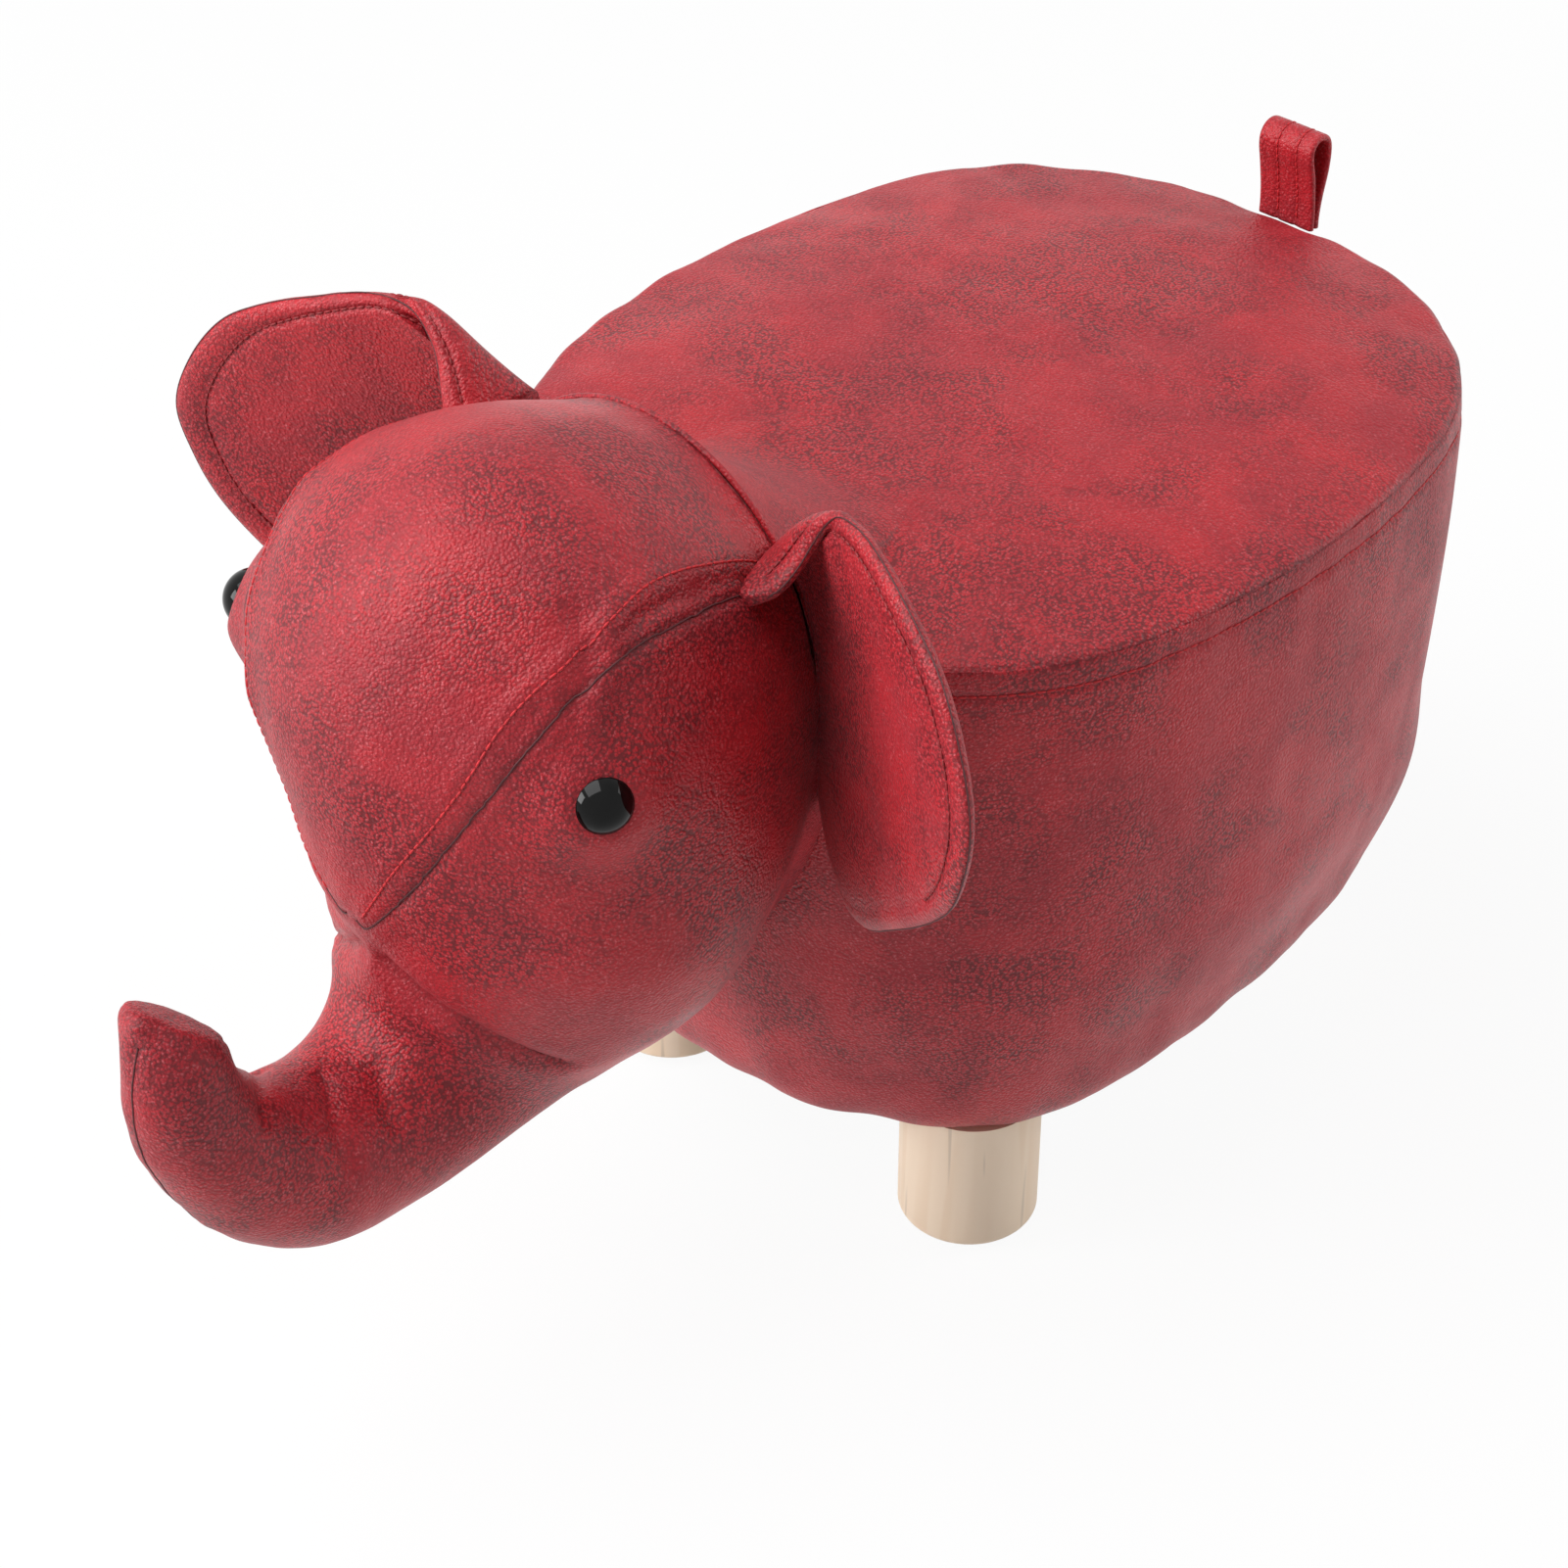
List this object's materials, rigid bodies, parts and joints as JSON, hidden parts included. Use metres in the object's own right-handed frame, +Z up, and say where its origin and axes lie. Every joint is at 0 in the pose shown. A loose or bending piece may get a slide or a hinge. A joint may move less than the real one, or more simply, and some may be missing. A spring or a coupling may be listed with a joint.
{
  "type": "animal footstool",
  "caption": "Low upholstered footstool in the shape of an elephant: padded drum seat, stuffed head with curled trunk, soft flap ears, tail loop and short round wooden legs.",
  "frame": {"origin": "on the floor under the middle of the whole object, half way from trunk to tail and from ear to ear", "axes": "+Z up, +Y from head to tail, +X to the animal's left"},
  "size_m": [0.3532, 0.5844, 0.372],
  "materials": {
    "red_cover": "soft brushed, worn",
    "foam": "open cell",
    "fibre_fill": "loose fibre",
    "plywood": "sanded",
    "frame_pine": "sawn",
    "hardboard": "smooth",
    "leg_pine": "clear matt lacquer",
    "zinc_steel": "zinc plated",
    "felt": "pressed felt",
    "dust_cloth": "non-woven",
    "eye_gloss": "polished",
    "washer_plastic": "moulded"
  },
  "bodies": {
    "stool": {"base_board": "plywood", "dust_cover": "dust_cloth", "dust_cover_staples": "zinc_steel", "eye_washers": "washer_plastic", "forehead_panel": "red_cover", "frame_screws": "zinc_steel", "front_left_leg": "leg_pine", "front_left_post": "frame_pine", "front_right_leg": "leg_pine", "front_right_post": "frame_pine", "head_stuffing": "fibre_fill", "left_eye": "eye_gloss", "left_head_panel": "red_cover", "left_trunk_panel": "red_cover", "leg_glides": "felt", "leg_hanger_bolts": "zinc_steel", "leg_tee_nuts": "zinc_steel", "neck_stuffing": "fibre_fill", "rear_left_leg": "leg_pine", "rear_left_post": "frame_pine", "rear_right_leg": "leg_pine", "rear_right_post": "frame_pine", "right_eye": "eye_gloss", "right_head_panel": "red_cover", "right_trunk_panel": "red_cover", "seat_cover": "red_cover", "seat_foam": "foam", "side_cover": "red_cover", "side_foam": "foam", "side_hoop": "hardboard", "top_board": "plywood", "trunk_stuffing": "fibre_fill", "trunk_tip_panel": "red_cover"},
    "left_ear": {"left_ear_back": "red_cover", "left_ear_front": "red_cover", "left_ear_wadding": "fibre_fill"},
    "right_ear": {"right_ear_back": "red_cover", "right_ear_front": "red_cover", "right_ear_wadding": "fibre_fill"},
    "tail": {"tail_loop": "red_cover"}
  },
  "joints": [
    {"name": "left_ear_flap", "type": "hinge", "parent": "stool", "child": "left_ear", "pos_m": [0.0756, -0.0608, 0.285], "axis": [0, 0, 1], "range_deg": [-35, 18], "stiffness_Nm_per_rad": 0.05},
    {"name": "right_ear_flap", "type": "hinge", "parent": "stool", "child": "right_ear", "pos_m": [-0.0756, -0.0608, 0.285], "axis": [0, 0, -1], "range_deg": [-35, 18], "stiffness_Nm_per_rad": 0.05},
    {"name": "tail_flap", "type": "hinge", "parent": "stool", "child": "tail", "pos_m": [0, 0.2853, 0.283], "axis": [1, 0, 0], "range_deg": [-60, 40], "stiffness_Nm_per_rad": 0.01}
  ]
}
